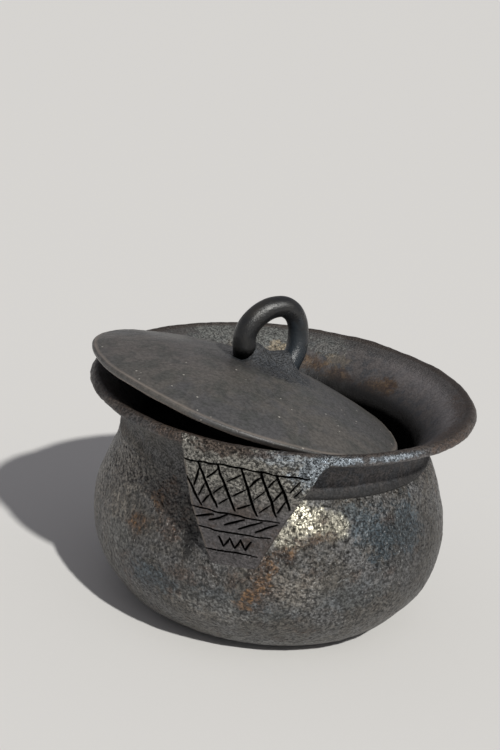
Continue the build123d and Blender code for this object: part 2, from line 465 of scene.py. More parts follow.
class POT_OT_neck_rim(Operator):
    """Open the collar into the flared rim, with its worn lip and one chip"""

    bl_idname = "clay_pot.neck_rim"
    bl_label = "Neck and rim"

    def execute(self, context):
        sizes = context.scene.pot_sizes
        outside = rim_outside()
        inside = flare_inside()
        profile = np.concatenate([outside, inside])
        points = turned(profile, COLUMNS)
        normals = turned(outward_lean(outside, inside), COLUMNS)
        row = np.repeat(np.arange(len(profile)), COLUMNS)
        inward = row >= len(outside)
        reach = np.hypot(points[:, 0], points[:, 1])
        lip = ease(reach, 112, 118)
        neck = np.where(inward, 0.0, ease(reach, 104, 96))
        skin = lump(points, 9, 11) * 0.22 + lump(points, 3.4, 12) * 0.13 * (1 - 0.6 * neck)
        skin -= inward * 0.35 * pits(points, 9.0, 2.0, 13)
        front = ease(-points[:, 1], -20, 60)
        dents = lump(points, 2.6, 14) * 0.12 - np.abs(lump(points, 4.4, 15)) * 0.24
        skin += lip * (0.3 + 0.7 * front) * dents
        points = smear_neck(points, ~inward) + normals * skin[:, None]
        points[:, 2] += lip * (lump(points, 48, 16) * 0.75 + lump(points, 17, 17) * 0.25)
        chip_place, chip_reach, chip_depth = [-0.6, -116.2, POT_HEIGHT], [3.4, 3.0, 2.6], 3.0
        chip = np.clip(1 - np.linalg.norm((points - chip_place) / chip_reach, axis=1), 0, 1)
        points[:, 2] -= chip * chip_depth
        points = hand_wobble(points, sizes.wobble / MM)
        faces = ring_faces(len(profile), COLUMNS, True)
        clay_mesh("neck_rim_clay", points, faces, "pot", "neck_rim", rim_clay, 60)
        return {"FINISHED"}


# strokes on the lug's face: across from its middle line, and height over the pot's foot, in mm
TOP_LINE = [(-34.5, 129.4), (-26.6, 130.0), (-13.5, 131.6), (3.0, 131.4), (18.0, 130.6), (36.5, 130.2)]
DIAGONALS = [
    ((-32.4, 119.4), (-21.8, 104.2)),
    ((-26.2, 129.6), (-13.0, 105.4)),
    ((-14.6, 131.0), (-2.6, 105.0)),
    ((-1.0, 130.6), (10.2, 104.4)),
    ((9.6, 130.8), (21.0, 105.4)),
    ((19.2, 130.4), (28.0, 110.6)),
]
BAND_LINES = [((-27.4, 102.2), (23.4, 101.4)), ((-23.4, 89.6), (18.8, 90.2)), ((-18.6, 76.0), (12.2, 77.0))]
DASHES = [((-25.0, 95.6), (-14.6, 100.0)), ((-16.4, 95.6), (-6.4, 101.0)), ((-7.2, 94.2), (3.6, 100.2))]
DASHES += [((1.0, 93.4), (13.2, 100.4)), ((10.4, 93.2), (22.6, 100.0))]
RUNGS_PER_GAP = 3


def lug_strokes():
    """All strokes as (start, end, weight), the rungs and chevrons worked out from the lines."""
    strokes = [(a, b, 0.85) for a, b in zip(TOP_LINE, TOP_LINE[1:])]
    strokes += [(a, b, 1.1) for a, b in DIAGONALS]
    strokes += [(a, b, 0.8) for a, b in BAND_LINES]
    strokes += [(a, b, 0.9) for a, b in DASHES]
    rng = np.random.default_rng(7)
    for gap in range(len(DIAGONALS) - 1):
        (left_top, left_foot), (right_top, right_foot) = DIAGONALS[gap], DIAGONALS[gap + 1]
        for rung in range(RUNGS_PER_GAP):
            share = (rung + 0.3) / (RUNGS_PER_GAP + 0.2) + rng.uniform(-0.03, 0.03)
            start = Vector(left_top).lerp(Vector(left_foot), min(share + 0.31, 0.98))
            end = Vector(right_top).lerp(Vector(right_foot), share)
            cut = (tuple(start.lerp(end, 0.16)), tuple(start.lerp(end, 0.92)), rng.uniform(0.55, 0.8))
            strokes.append(cut)
    strokes.append(((29.0, 118.5), (33.5, 123.5), 0.6))
    strokes.append(((26.6, 121.0), (32.0, 128.0), 0.6))
    for k in range(3):
        left = -10.5 + 6.4 * k
        strokes.append(((left, 86.4), (left + 3.2, 79.6), 0.85))
        strokes.append(((left + 3.2, 79.6), (left + 6.4, 86.2), 0.75))
    return strokes


def stroke_cut(across, height, strokes, width):
    """Depth from 0 to 1 of the strokes at each place on the lug's face."""
    place = np.stack([across, height], axis=1)
    waver = np.stack([across, height, np.zeros_like(across)], axis=1)
    place = place + np.stack([lump(waver, 6, 21), lump(waver, 6, 22)], axis=1) * 0.45
    cut = np.zeros(len(across))
    burr = np.zeros(len(across))
    for start, end, weight in strokes:
        a, b = np.array(start), np.array(end)
        run = b - a
        share = np.clip((place - a) @ run / (run @ run), 0, 1)
        gap = np.linalg.norm(place - a - share[:, None] * run, axis=1)
        taper = 0.72 + 0.28 * np.sin(math.pi * np.clip(share * 0.86 + 0.1, 0, 1))
        half = width / 2 * (0.6 + 0.4 * weight) * taper
        cut = np.maximum(cut, np.clip(1 - gap / half, 0, 1) ** 0.7 * weight * taper)
        burr = np.maximum(burr, np.clip(1 - np.abs(gap - half * 1.25) / (half * 0.6), 0, 1) * weight)
    return cut, burr


def lug_reach(height):
    """How far the lug's face stands from the pot's axis, at the lug's middle."""
    knots = np.array([60.0, 66.0, 72.0, 80.0, 90.0, 106.0, 122.0, 134.0, 139.5, 141.6, 143.4])
    reach = np.array([108.4, 109.8, 111.0, 112.9, 115.2, 117.8, 119.0, 119.9, 120.4, 119.6, 117.6])
    return np.interp(height, knots, reach)


def lug_half_widths(height):
    """Half the lug's width at each height, to the left and to the right, where it spreads into the lip."""
    knots = np.array([64.0, 67.0, 73.0, 104.0, 126.0, 131.0, 135.0, 138.0, 144.0])
    left = np.interp(height, knots, [10.0, 14.6, 17.0, 28.6, 34.4, 35.4, 36.2, 36.8, 38.5])
    right = np.interp(height, knots, [9.0, 12.6, 14.6, 27.8, 39.0, 41.2, 43.2, 46.5, 53.0])
    return left, right


class POT_OT_front_lug(Operator):
    """Lay the slab that bridges the neck, and cut its strokes"""

    bl_idname = "clay_pot.front_lug"
    bl_label = "Front lug"

    def execute(self, context):
        sizes = context.scene.pot_sizes
        heights = np.arange(64.0, 143.4, 0.42)
        across_share = np.linspace(-1, 1, 201)
        depth_share = np.linspace(0, 1, 40)[1:]
        back_share = np.linspace(1, -1, 13)[1:]
        left, right = lug_half_widths(heights)
        rows = []
        cuts = []
        edge_highlights = []
        strokes = lug_strokes()
        pot_side = np.concatenate([wall_outside(2.0), rim_outside(2.0)[1:]])
        for z, half_left, half_right in zip(heights, left, right):
            across = np.where(across_share < 0, half_left, half_right) * across_share
            bend = 150 - 29 * ease(z, 124, 138)
            distance = np.sqrt(bend**2 - across**2) - (bend - lug_reach(z))
            to_edge = np.minimum(half_left + across, half_right - across)
            round_over = 1.7 * (1 - 0.7 * ease(z, 128, 136))
            short = np.clip(round_over - to_edge, 0, round_over)
            distance -= round_over - np.sqrt(round_over**2 - short**2)
            level = np.full_like(across, z)
            cut, burr = stroke_cut(across, level, strokes, sizes.stroke_width / MM)
            place = np.stack([across, level, np.zeros_like(across)], axis=1)
            rough = ease(z, 128.5, 133)
            distance += lump(place, 21, 23) * 0.35 + lump(place, 6.0, 24) * 0.13
            distance += (lump(place, 2.4, 25) * 0.1 - np.abs(lump(place, 3.6, 26)) * 0.22) * (0.45 + rough)
            distance += burr * 0.34 - cut * sizes.stroke_depth / MM
            under = np.interp(z, pot_side[:, 1], pot_side[:, 0]) - LUG_SINK
            back_left = math.sqrt(under**2 - half_left**2)
            back_right = math.sqrt(under**2 - half_right**2)
            front = np.stack([across, distance], axis=1)
            inward = distance[-1] + (back_right - distance[-1]) * depth_share
            side_right = np.stack([np.full(len(inward), half_right), inward], axis=1)
            back_across = np.where(back_share < 0, half_left, half_right) * back_share
            back = np.stack([back_across, np.sqrt(under**2 - back_across**2)], axis=1)
            outward = back_left + (distance[0] - back_left) * depth_share[:-1]
            side_left = np.stack([np.full(len(outward), -half_left), outward], axis=1)
            ring = np.concatenate([front, side_right, back, side_left])
            rows.append(np.column_stack([ring, np.full(len(ring), z)]))
            unmarked = np.zeros(len(ring) - len(across))
            cuts.append(np.concatenate([cut, unmarked]))
            # Painted highlight along the lug's left edge.
            edge = np.exp(-(((half_left + across - 0.8) / 0.8) ** 2)) * ease(z, 68, 80) * ease(z, 134, 126)
            edge_highlights.append(np.concatenate([edge, unmarked]))
        columns = len(rows[0])
        local = np.concatenate(rows)
        sideways = lump(local, 5, 27) * 0.3 + lump(local, 2.4, 28) * 0.12
        on_side = np.tile(np.arange(columns) >= len(across_share), len(rows))
        local[:, 0] += np.where(on_side, sideways, 0.0)
        turn = sizes.lug_bearing
        outward = np.array([math.sin(turn), -math.cos(turn)])
        along = np.array([math.cos(turn), math.sin(turn)])
        flat = local[:, :1] * along + local[:, 1:2] * outward
        points = np.column_stack([flat, local[:, 2]])
        points = hand_wobble(points, sizes.wobble / MM)
        faces = ring_faces(len(rows), columns, False)
        piece = clay_mesh("front_lug_clay", points, faces, "pot", "front_lug", lug_clay, 65)
        mark_points(piece, stroke=np.concatenate(cuts), worn_edge=np.concatenate(edge_highlights))
        return {"FINISHED"}


# ---------------------------------------------------------------- the lid's pieces


def lid_seat():
    """The place and tilt of the lid, from its own level frame: +X runs down its slope."""
    sizes = bpy.context.scene.lid_sizes
    turn = Matrix.Rotation(sizes.bearing, 4, "Z") @ Matrix.Rotation(sizes.tip, 4, "Y")
    return Matrix.Translation(Vector(sizes.seat) / MM) @ turn


def seated(points):
    """Points from the lid's own frame, in mm, moved to where it lies."""
    seat = np.array(lid_seat())
    return points @ seat[:3, :3].T + seat[:3, 3]


def dome_height(reach):
    """Height of the lid's upper face over its underside, in mm, at a distance from its middle."""
    sizes = bpy.context.scene.lid_sizes
    share = np.clip(reach / (sizes.radius / MM), 0, 1)
    return (sizes.edge + sizes.rise * (1 - share**1.85)) / MM


def dome_strays(points):
    """Slow unevenness of the dome, in mm, at points in the lid's own frame."""
    level = points * np.array([1, 1, 0])
    return lump(level, 46, 31) * 0.55 + lump(level, 19, 32) * 0.16


class POT_OT_lid_disc(Operator):
    """Press the domed disc of the lid and burnish it"""

    bl_idname = "clay_pot.lid_disc"
    bl_label = "Lid disc"

    def execute(self, context):
        sizes = context.scene.lid_sizes
        radius = sizes.radius / MM
        crown = (sizes.edge + sizes.rise) / MM
        hollow_radius = radius - 7.0
        hollow_reach = np.linspace(2, hollow_radius, 34)
        hollow_height = (crown - sizes.thickness / MM) * (1 - (hollow_reach / hollow_radius) ** 2)
        hollow = np.stack([hollow_reach, hollow_height], axis=1)
        rim = smooth_curve([(-6.0, 0), (-3.4, 0.2), (-1.5, 1.1), (-0.3, 2.6), (0, 3.7)], 0.5) + [radius, 0]
        top_reach = np.concatenate([[radius - 0.6, radius - 1.2], np.linspace(radius - 2, 2, 84)])
        top = np.stack([top_reach, dome_height(top_reach)], axis=1)
        top[0, 1] -= 0.12
        profile = np.concatenate([hollow, rim, top])
        columns = 640  # points round the lid
        points = turned(profile, columns)
        normals = turned(outward_lean(hollow, rim, top), columns)
        reach = np.hypot(points[:, 0], points[:, 1])
        row = np.repeat(np.arange(len(profile)), columns)
        below = row < len(hollow)
        fine = lump(points, 7.5, 33) * 0.05 + lump(points, 3.2, 34) * 0.02
        dents = lump(points, 5, 35) * 0.14 - pits(points, 13, 1.8, 36) * 0.5
        worn = ease(reach, radius - 4, radius - 0.5) * dents
        points[:, 2] += dome_strays(points) * (0.6 + 0.4 * ease(reach, 60, 98))
        points += normals * (np.where(below, 4.0, 1.0) * fine + np.where(below, 0, worn))[:, None]
        flat = points * [1, 1, 0]
        out_of_round = lump(flat, 60, 37) * 0.5 * ease(reach, 60, 98)
        points += flat / np.maximum(reach, 1e-6)[:, None] * out_of_round[:, None]
        faces = ring_faces(len(profile), columns, False)
        # Painted highlight along the lid's upper arris.
        arris = np.exp(-(((reach - radius + 1.5) / 0.6) ** 2))
        edge = arris * ~below * (0.75 + 0.25 * lump(points, 14, 38))
        face = ease(reach, radius - 5, radius - 1.5) * (row < len(hollow) + len(rim) - 1) * ~below
        face = face * (1 - 0.75 * ease(-points[:, 0], 10, 75))
        points = seated(points)
        piece = clay_mesh(
            "lid_disc_clay", points, faces, "lid", "lid_disc", burnished_clay, 55
        )
        mark_points(piece, worn_edge=edge, edge_face=face)
        return {"FINISHED"}


def pad_rise(x, y):
    """Height of the pad over the dome at places in the lid's own frame."""
    ridge = np.exp(-(((y - 1.6) / 9.0) ** 2)) * ease(x, -13, -7) * (1 - ease(x, 16, 33))
    saddle = 8.4 - 1.2 * np.exp(-(((x - 5) / 6) ** 2))
    right_foot = 5.0 * np.exp(-(((x - 19.5) / 6.5) ** 2) - ((y + 5) / 7.5) ** 2)
    left_foot = 2.4 * np.exp(-(((x + 3.5) / 5.0) ** 2) - ((y - 1.6) / 7.0) ** 2)
    apron = 2.6 * np.exp(-(((x - 8) / 17) ** 2) - ((y + 7) / 12) ** 2)
    return ridge * saddle + right_foot + left_foot + apron


class POT_OT_lid_pad(Operator):
    """Work the lump of clay round the feet of the loop"""

    bl_idname = "clay_pot.lid_pad"
    bl_label = "Lid pad"

    def execute(self, context):
        columns = 240
        share = np.concatenate([np.linspace(0.04, 0.96, 72), [0.985, 1.0]])
        angle = np.linspace(0, 2 * math.pi, columns, endpoint=False)
        x = 11 + 47 * share[:, None] * np.cos(angle)
        y = -2 + 36 * share[:, None] * np.sin(angle)
        level = np.stack([x, y, np.zeros_like(x)], axis=-1).reshape(-1, 3)
        dome = dome_height(np.hypot(level[:, 0], level[:, 1])) + dome_strays(level) * 0.6
        fade = 1 - ease(np.repeat(share, columns), 0.72, 0.98)
        rise = pad_rise(level[:, 0], level[:, 1])
        worked = lump(level, 8, 41) * 0.4 + lump(level, 3.2, 42) * 0.18 - pits(level, 5.5, 1.3, 43) * 0.55
        near = np.clip(rise / 3, 0, 1)
        upper = level.copy()
        upper[:, 2] = dome + (rise + worked * near) * fade + 0.06 - 0.6 * (1 - fade)
        lower = level.copy()
        lower[:, 2] = dome - 3.0
        upper_rows = upper.reshape(len(share), columns, 3)[::-1]
        lower_rows = lower.reshape(len(share), columns, 3)[::12]
        rows = np.concatenate([lower_rows, upper_rows])
        points = rows.reshape(-1, 3)
        faces = ring_faces(len(rows), columns, False)
        clay_mesh("lid_pad_clay", seated(points), faces, "lid", "lid_pad", pad_clay, 75)
        return {"FINISHED"}


LOOP_ROUTE = [
    (-6.4, -5.0),
    (-8.4, 1.6),
    (-11.4, 8.4),
    (-13.2, 15.0),
    (-12.0, 22.2),
    (-8.2, 28.8),
    (-1.8, 34.6),
    (5.6, 37.0),
    (12.8, 35.0),
    (18.6, 29.6),
    (22.2, 22.0),
    (23.4, 14.0),
    (21.8, 6.0),
    (18.8, -2.0),
    (17.0, -5.0),
]


class POT_OT_lid_loop(Operator):
    """Bend one rolled coil to the loop that lifts the lid"""

    bl_idname = "clay_pot.lid_loop"
    bl_label = "Lid loop"

    def execute(self, context):
        sizes = context.scene.lid_sizes
        crown = (sizes.edge + sizes.rise) / MM
        route = smooth_curve(LOOP_ROUTE, 0.7)
        ahead = np.gradient(route, axis=0)
        ahead /= np.linalg.norm(ahead, axis=1)[:, None]
        side = np.stack([ahead[:, 1], -ahead[:, 0]], axis=1)
        share = np.linspace(0, 1, len(route))
        thick = sizes.coil / MM * (1.02 - 0.05 * np.sin(math.pi * share) + 0.03 * np.sin(5 * share + 1))
        thick += 2.0 * np.exp(-(((1 - share) / 0.09) ** 2)) + 0.9 * np.exp(-((share / 0.05) ** 2))
        columns = 96
        angle = np.linspace(0, 2 * math.pi, columns, endpoint=False)
        out = thick[:, None] * np.cos(angle)
        across = thick[:, None] * np.sin(angle) * 1.03
        x = route[:, 0][:, None] + side[:, 0][:, None] * out
        z = route[:, 1][:, None] + side[:, 1][:, None] * out + crown
        sway = 2.0 - 3.4 * ease(route[:, 1], 24, 2) * (route[:, 0] > 8)
        points = np.stack([x, across + sway[:, None], z], axis=-1).reshape(-1, 3)
        centre = np.repeat(np.column_stack([route[:, 0], sway, route[:, 1] + crown]), columns, axis=0)
        lean = points - centre
        lean /= np.linalg.norm(lean, axis=1)[:, None]
        facets = lump(points, 13, 51) * 0.3 + lump(points, 5.5, 52) * 0.07 + lump(points, 2.4, 53) * 0.025
        points += lean * facets[:, None]
        faces = ring_faces(len(route), columns, False)
        clay_mesh("lid_loop_clay", seated(points), faces, "lid", "lid_loop", loop_clay, 60)
        return {"FINISHED"}


# ---------------------------------------------------------------- shader nodes that the clays share


def feed(tree, socket, value):
    """Gives a socket a number, a colour, a place or another socket."""
    if isinstance(value, bpy.types.NodeSocket):
        tree.links.new(value, socket)
    elif isinstance(value, (int, float)):
        socket.default_value = value
    else:
        given = tuple(value)
        socket.default_value = given + (1.0,) * (len(socket.default_value) - len(given))


def feed_node(tree, node, **values):
    """Feeds a node's sockets, each called by its name with _ for a space. Returns the node."""
    for label, value in values.items():
        feed(tree, node.inputs[label.replace("_", " ")], value)
    return node


def maths(tree, operation, *values, kind="ShaderNodeMath"):
    """A Math node, or a Vector Math one; each value is a number, a place or a socket."""
    node = tree.nodes.new(kind)
    node.operation = operation
    for socket, value in zip(node.inputs, values):
        feed(tree, socket, value)
    return node


def math_node(tree, operation, *values):
    """The result of a Math node."""
    return maths(tree, operation, *values).outputs[0]


def vector_node(tree, operation, *values):
    """A Vector Math node."""
    return maths(tree, operation, *values, kind="ShaderNodeVectorMath")


def times(tree, first, second):
    """The product of two numbers or sockets."""
    return math_node(tree, "MULTIPLY", first, second)


def times_plus(tree, first, second, third):
    """The product of two numbers or sockets, and a third added."""
    return math_node(tree, "MULTIPLY_ADD", first, second, third)


def larger(tree, first, second):
    """The larger of two numbers or sockets."""
    return math_node(tree, "MAXIMUM", first, second)


def rest_of(tree, share):
    """What is left of 1 after a share."""
    return math_node(tree, "SUBTRACT", 1.0, share)


def mix_colours(tree, share, first, second):
    """A colour Mix node; share is a number or a socket. Returns its result."""
    node = tree.nodes.new("ShaderNodeMix")
    node.data_type = "RGBA"
    for place, value in ((0, share), (6, first), (7, second)):
        feed(tree, node.inputs[place], value)
    return node.outputs[2]


def ramp(tree, value, low, high, out_low=0.0, out_high=1.0):
    """Maps low..high to out_low..out_high in a smooth step. Returns its result."""
    node = tree.nodes.new("ShaderNodeMapRange")
    node.interpolation_type = "SMOOTHSTEP"
    feed_node(tree, node, Value=value, From_Min=low, From_Max=high, To_Min=out_low, To_Max=out_high)
    return node.outputs["Result"]


def noise_node(tree, place, scale, detail=4.0, roughness=0.6, distortion=0.0):
    """A Noise Texture; scale is a number or a socket. Returns its value."""
    node = tree.nodes.new("ShaderNodeTexNoise")
    feed_node(
        tree, node, Vector=place, Scale=scale, Detail=detail, Roughness=roughness, Distortion=distortion
    )
    return node.outputs["Fac"]


def cell_gap(tree, place, scale):
    """How far each place is from the nearest of many scattered points."""
    cells = tree.nodes.new("ShaderNodeTexVoronoi")
    return feed_node(tree, cells, Vector=place, Scale=scale).outputs["Distance"]


def shared_group(name, inputs, outputs):
    """Wraps the filling of a node group: it is made when first asked for and found again after that."""

    def wrap(fill):
        def find_or_make():
            if name in bpy.data.node_groups:
                return bpy.data.node_groups[name]
            group = bpy.data.node_groups.new(name, "ShaderNodeTree")
            group.interface.new_socket("Place", in_out="INPUT", socket_type="NodeSocketVector")
            for label, value in inputs.items():
                kind = "Float" if isinstance(value, float) else {3: "Vector", 4: "Color"}[len(value)]
                socket = group.interface.new_socket(label, in_out="INPUT", socket_type="NodeSocket" + kind)
                socket.default_value = value
            for label, kind in outputs.items():
                group.interface.new_socket(label, in_out="OUTPUT", socket_type="NodeSocket" + kind)
            entry = group.nodes.new("NodeGroupInput").outputs
            leaving = fill(group, entry, entry["Place"])
            feed_node(group, group.nodes.new("NodeGroupOutput"), **leaving)
            return group

        return find_or_make

    return wrap


@shared_group(
    "Smoke mottling",
    {
        "Ground": (0.05, 0.05, 0.05, 1),
        "Bloom": (0.12, 0.12, 0.12, 1),
        "Patches per metre": 60.0,
        "Low": 0.45,
        "High": 0.65,
        "Amount": 1.0,
    },
    {"Colour": "Color", "Mask": "Float"},
)
def smoke_group(group, entry, place):
    """Mottling left by the smoke of the firing: one colour breaking through another."""
    patches = noise_node(group, place, entry["Patches per metre"], 6.0, 0.68, 0.4)
    share = times(group, ramp(group, patches, entry["Low"], entry["High"]), entry["Amount"])
    return {"Colour": mix_colours(group, share, entry["Ground"], entry["Bloom"]), "Mask": share}


@shared_group(
    "Grit and pores",
    {"Grains per metre": 900.0, "Pores per metre": 420.0, "Pore depth": 0.6},
    {"Height": "Float", "Pore": "Float"},
)
def grit_group(group, entry, place):
    """Height of the clay's fine surface: sand grains, pores and a light drag."""
    grains = noise_node(group, place, entry["Grains per metre"], 5.0, 0.7)
    here = ramp(group, cell_gap(group, place, entry["Pores per metre"]), 0.05, 0.34, 1.0, 0.0)
    thinned = math_node(group, "GREATER_THAN", noise_node(group, place, 210.0, 2.0), 0.53)
    pore = times(group, here, thinned)
    height = math_node(group, "SUBTRACT", grains, times(group, pore, entry["Pore depth"]))
    return {"Height": height, "Pore": pore}


@shared_group(
    "Ragged patch",
    {"Centre": (0.0, 0.0, 0.0), "Reach": (0.01, 0.01, 0.01), "Ragged": 0.9, "Strength": 1.0},
    {"Mask": "Float"},
)
def stain_group(group, entry, place):
    """A ragged patch about one place, from 1 in its middle to 0 outside."""
    offset = vector_node(group, "SUBTRACT", place, entry["Centre"]).outputs[0]
    stretched = vector_node(group, "DIVIDE", offset, entry["Reach"]).outputs[0]
    away = vector_node(group, "LENGTH", stretched).outputs["Value"]
    centred = math_node(group, "SUBTRACT", noise_node(group, place, 190.0, 7.0, 0.72), 0.5)
    torn = times_plus(group, centred, times(group, entry["Ragged"], 3.0), away)
    return {"Mask": times(group, ramp(group, torn, 0.55, 1.15, 1.0, 0.0), entry["Strength"])}


@shared_group(
    "Dark and pale grains",
    {"Ground": (0.05, 0.05, 0.05, 1), "Dark": 0.3, "Pale": 2.0, "Grains per metre": 620.0},
    {"Colour": "Color", "Height": "Float"},
)
def grains_group(group, entry, place):
    """Small dark and pale grains: a colour multiplied by a fine, contrasty noise."""
    fineness = entry["Grains per metre"]
    fine = noise_node(group, place, fineness, 3.0, 0.65)
    coarse = noise_node(group, place, times(group, fineness, 0.47), 3.0, 0.6)
    factor = ramp(group, fine, 0.37, 0.63, entry["Dark"], entry["Pale"])
    deepest = times_plus(group, entry["Dark"], 0.75, 0.25)
    hollow = ramp(group, coarse, 0.5, 0.66, 1.0, deepest)
    scaled = vector_node(group, "SCALE", entry["Ground"])
    feed_node(group, scaled, Scale=times(group, factor, hollow))
    sunk = times_plus(group, hollow, 0.5, -0.95)
    return {"Colour": scaled.outputs[0], "Height": math_node(group, "ADD", fine, sunk)}


def place_group(tree, group, place, **values):
    """Puts a group in a material with its own values, each a number, a tuple or a socket."""
    node = tree.nodes.new("ShaderNodeGroup")
    node.node_tree = group
    return feed_node(tree, node, Place=place, **values)


def smoked(tree, place, ground, bloom, fineness, low, high, amount):
    """One colour breaking through another in smoky patches; returns the colour and the mask."""
    node = place_group(
        tree,
        smoke_group(),
        place,
        Ground=ground,
        Bloom=bloom,
        Patches_per_metre=fineness,
        Low=low,
        High=high,
        Amount=amount,
    )
    return node.outputs["Colour"], node.outputs["Mask"]


def gritty_skin(tree, place, grains, pores, depth):
    """The height of grit and pores, and a mask of the pores."""
    node = place_group(
        tree, grit_group(), place, Grains_per_metre=grains, Pores_per_metre=pores, Pore_depth=depth
    )
    return node.outputs["Height"], node.outputs["Pore"]


def grained(tree, place, ground, dark, pale, fineness):
    """A colour broken up by grains; returns the colour and the grains' height."""
    node = place_group(
        tree, grains_group(), place, Ground=ground, Dark=dark, Pale=pale, Grains_per_metre=fineness
    )
    return node.outputs["Colour"], node.outputs["Height"]


def ragged_patch(tree, place, centre, reach, ragged, strength):
    """The mask of a ragged patch; its centre in metres, its reach in mm."""
    reach = tuple(side * MM for side in reach)
    node = place_group(
        tree, stain_group(), place, Centre=centre, Reach=reach, Ragged=ragged, Strength=strength
    )
    return node.outputs["Mask"]


# ---------------------------------------------------------------- the clays


def on_pot(bearing, radius, height):
    """A place on the pot from its bearing off the front in degrees, radius and height in mm."""
    turn = math.radians(bearing)
    return (radius * math.sin(turn) * MM, -radius * math.cos(turn) * MM, height * MM)


# bearing, radius, height and reach of each patch, in degrees and mm, and its strength
BODY_RUST = [
    (-45, 109, 73, (6, 8, 6), 0.7),
    (-39, 104, 90, (6, 8, 6), 0.5),
    (8, 106, 80, (5, 7, 4), 0.6),
    (17, 104, 87, (6, 6, 3), 0.5),
    (2, 110, 69, (6, 8, 7), 0.9),
    (1, 111, 59, (6.5, 8, 8), 1.0),
    (-2, 111, 50, (6.5, 8, 7), 1.0),
    (-4, 110, 43, (5.5, 8, 5), 0.8),
    (120, 108, 70, (16, 16, 18), 0.5),
    (205, 106, 84, (14, 14, 16), 0.5),
    (265, 108, 58, (14, 14, 20), 0.4),
]
BODY_UMBER = [
    (18, 100, 97, (5, 6, 3.5), 0.9),
    (21, 104, 88, (6, 7, 4), 0.9),
    (13, 105, 85, (8, 8, 4), 0.95),
    (7, 107, 79, (7, 8, 6), 0.85),
    (0, 111, 58, (9, 9, 20), 0.75),
    (-36, 99, 98, (9, 10, 8), 1.0),
    (-35, 104, 88, (10, 10, 9), 0.9),
    (-31, 107, 78, (10, 10, 8), 1.0),
    (-44, 109, 72, (11, 10, 7), 0.8),
    (-24, 111, 54, (9, 9, 6), 0.75),
    (44, 102, 93, (5, 6, 4), 0.6),
    (150, 108, 70, (36, 30, 26), 0.5),
    (240, 108, 60, (36, 30, 26), 0.5),
]
# Soot patches; the two by the lug's left edge, at -23 and -28 degrees, deepen the lug's shadow: painted
# shade.
BODY_SOOT_AND_SHADE = [
    (64, 108, 62, (38, 38, 36), 0.42),
    (46, 106, 78, (26, 26, 24), 0.45),
    (-23, 109, 75, (6, 9, 11), 0.95),
    (-28, 102, 98, (8, 10, 9), 0.5),
    (7, 108, 76, (6, 8, 3.5), 0.6),
    (150, 110, 55, (30, 30, 30), 0.6),
    (250, 104, 34, (26, 26, 20), 0.6),
]
# The three patches on the left stand in for light from the left: painted light. The two low at the front
# lighten the clay there.
BODY_PALE_AND_PAINTED_LIGHT = [
    (-64, 104, 94, (26, 26, 20), 1.0),
    (-78, 108, 70, (22, 22, 26), 1.0),
    (-56, 109, 62, (26, 22, 20), 0.8),
    (10, 110, 56, (24, 16, 12), 0.6),
    (-14, 108, 36, (30, 20, 10), 0.6),
]
BODY_BLUE = [
    (29, 99, 100, (10, 14, 6), 0.6),
    (40, 105, 84, (14, 15, 17), 1.0),
    (34, 103, 92, (12, 14, 12), 0.8),
    (52, 104, 86, (16, 17, 18), 0.85),
    (-36, 110, 44, (22, 20, 9), 0.7),
    (-52, 110, 58, (18, 18, 12), 0.4),
    (-8, 110, 42, (40, 20, 12), 0.35),
    (30, 111, 52, (30, 22, 12), 0.3),
    (170, 106, 82, (34, 26, 22), 0.6),
]
# Where the key light's highlight falls on the shoulder: a painted highlight, set as pale metallic patches in
# the body's colour.
BODY_PAINTED_HIGHLIGHT = [
    (8, 99, 101, (12, 12, 7), 1.0),
    (14, 101, 96, (14, 12, 9), 1.0),
    (22, 102, 93, (11, 11, 9), 0.6),
    (8, 105, 87, (12, 12, 8), 0.5),
]
# Painted glints of the key light along the lip's outer face.
RIM_PAINTED_GLINTS = [
    (16, 119, 141.4, (26, 12, 2.6), 1.0),
    (36, 119, 141.4, (22, 18, 2.2), 0.8),
    (2, 119, 139, (16, 8, 6), 0.7),
]
RIM_BROWN = [
    (62, 119, 140, (26, 34, 8), 0.9),
    (90, 119, 140, (16, 34, 6), 0.6),
    (-28, 117, 142, (22, 14, 8), 0.75),
    (-64, 117, 142, (34, 38, 8), 0.5),
]
FLARE_BROWN = [
    (170, 96, 127, (15, 10, 6), 1.0),
    (158, 94, 123, (15, 13, 5), 0.8),
    (134, 94, 126, (10, 9, 7), 1.0),
    (141, 93, 122, (12, 12, 6), 0.8),
    (200, 96, 127, (16, 10, 7), 0.5),
]
FLARE_PALE = [
    (186, 106, 136, (26, 16, 10), 1.0),
    (208, 108, 138, (26, 16, 9), 0.8),
    (166, 106, 137, (16, 14, 8), 0.6),
]
RIM_TAN = [(184, 101, 131, (10, 8, 5), 0.9), (160, 99, 131, (10, 8, 4), 0.3)]


def patch_mask(tree, place, patches, ragged):
    """The masks of several patches, joined by their largest."""
    joined = None
    for bearing, radius, height, reach, strength in patches:
        patch = ragged_patch(tree, place, on_pot(bearing, radius, height), reach, ragged, strength)
        joined = patch if joined is None else larger(tree, joined, patch)
    return joined


def fired(name):
    """Wraps the work on a clay: it is made when first asked for and found again after that."""

    def wrap(work):
        def find_or_make():
            if name in bpy.data.materials:
                return bpy.data.materials[name]
            material = bpy.data.materials.new(name)
            material.use_nodes = True
            tree = material.node_tree
            place = tree.nodes.new("ShaderNodeTexCoord").outputs["Object"]
            finish = work(tree, place, bpy.context.scene.clay_colours)
            feed_node(tree, tree.nodes["Principled BSDF"], **finish)
            return material

        return find_or_make

    return wrap


def bumped(tree, height, distance):
    """The normal that a height gives, distance in metres."""
    bump = tree.nodes.new("ShaderNodeBump")
    return feed_node(tree, bump, Distance=distance, Height=height).outputs["Normal"]


def tinted(tree, colour, mask, share, tint):
    """A colour laid over another through a mask, at a share of its strength."""
    return mix_colours(tree, times(tree, mask, share), colour, tint)


